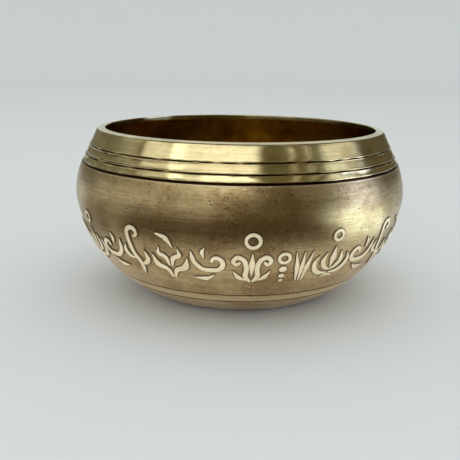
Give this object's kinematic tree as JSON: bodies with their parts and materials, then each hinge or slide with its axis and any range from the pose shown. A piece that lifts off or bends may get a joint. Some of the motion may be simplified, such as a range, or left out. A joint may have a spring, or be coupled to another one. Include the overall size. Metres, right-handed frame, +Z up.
{
  "type": "singing bowl",
  "caption": "Deep round brass bowl with an inward-leaning grooved collar, full belly, small flat foot and a raised ornamental frieze round the belly.",
  "frame": {"origin": "on the bowl's axis, at the plane of its flat foot", "axes": "+Z up along the bowl's axis, through the mouth; -Y is the front, +X to its right"},
  "size_m": [0.11, 0.11, 0.055],
  "materials": {
    "vessel_brass": "turned brass, polished collar, antiqued satin belly and dark inside",
    "relief_brass": "bright rubbed brass relief"
  },
  "bodies": {
    "root": {"vessel": "vessel_brass", "lotus_buds": "relief_brass", "vine_scrolls": "relief_brass", "tendrils": "relief_brass", "leaf_pairs": "relief_brass", "palmettes": "relief_brass", "pearl_drops": "relief_brass", "reed_sprays": "relief_brass"}
  },
  "joints": []
}
